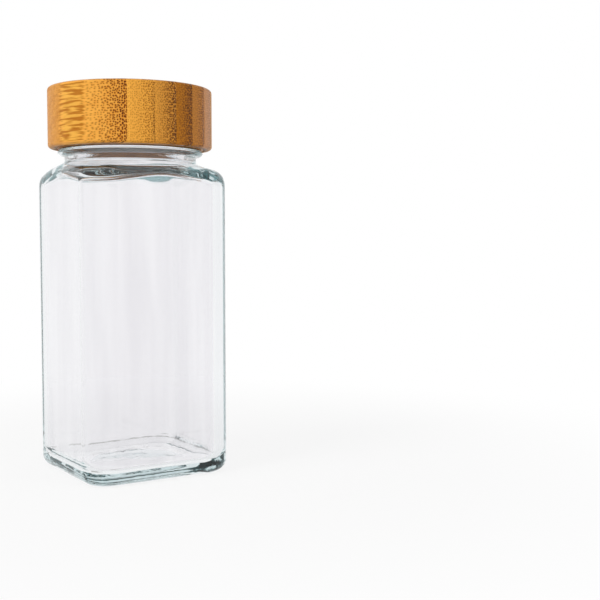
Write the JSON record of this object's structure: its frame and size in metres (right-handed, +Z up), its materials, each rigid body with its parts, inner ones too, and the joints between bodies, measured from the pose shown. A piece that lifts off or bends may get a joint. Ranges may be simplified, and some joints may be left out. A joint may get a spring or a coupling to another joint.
{
  "type": "spice jar",
  "caption": "Square clear-glass spice jar with a laminated bamboo screw cap, and inside it a plastic shaker insert with sifter holes and a hinged pouring flap.",
  "frame": {"origin": "centre of the base, on the surface that the jar stands on", "axes": "+Z up along the jar's axis; X and Y square to the flat sides; the pouring flap points along +X"},
  "size_m": [0.046, 0.046, 0.1081],
  "materials": {
    "clear_glass": "clear",
    "bamboo": "satin",
    "liner_plastic": "moulded",
    "seal": "soft",
    "frosted_plastic": "frosted"
  },
  "bodies": {
    "jar": {"glass_jar": "clear_glass"},
    "seal": {"lid_seal": "seal"},
    "cap": {"bamboo_strip_1": "bamboo", "bamboo_strip_2": "bamboo", "bamboo_strip_3": "bamboo", "bamboo_strip_4": "bamboo", "bamboo_strip_5": "bamboo", "bamboo_strip_6": "bamboo", "bamboo_strip_7": "bamboo", "bamboo_strip_8": "bamboo", "lid_liner": "liner_plastic"},
    "shaker": {"shaker_insert": "frosted_plastic"},
    "flap": {"shaker_flap": "frosted_plastic"}
  },
  "joints": [
    {"name": "lid_rise", "type": "slide", "parent": "jar", "child": "seal", "axis": [0, 0, 1], "range_m": [0, 0.04]},
    {"name": "lid_turn", "type": "hinge", "parent": "seal", "child": "cap", "pos_m": [0, 0, 0], "axis": [0, 0, 1], "range_deg": [0, 1800]},
    {"name": "shaker_pull", "type": "slide", "parent": "jar", "child": "shaker", "axis": [0, 0, 1], "range_m": [0, 0.009]},
    {"name": "flap_open", "type": "hinge", "parent": "shaker", "child": "flap", "pos_m": [0.00205, 0, 0.10075], "axis": [0, -1, 0], "range_deg": [0, 95]}
  ],
  "couplings": [
    {"joint": "lid_rise", "follows": "lid_turn", "m_per_rad": 0.0012732},
    {"joint": "shaker_pull", "follows": "lid_turn", "m_per_rad": 0.00028648},
    {"joint": "flap_open", "follows": "lid_turn", "ratio": 0.052778}
  ]
}
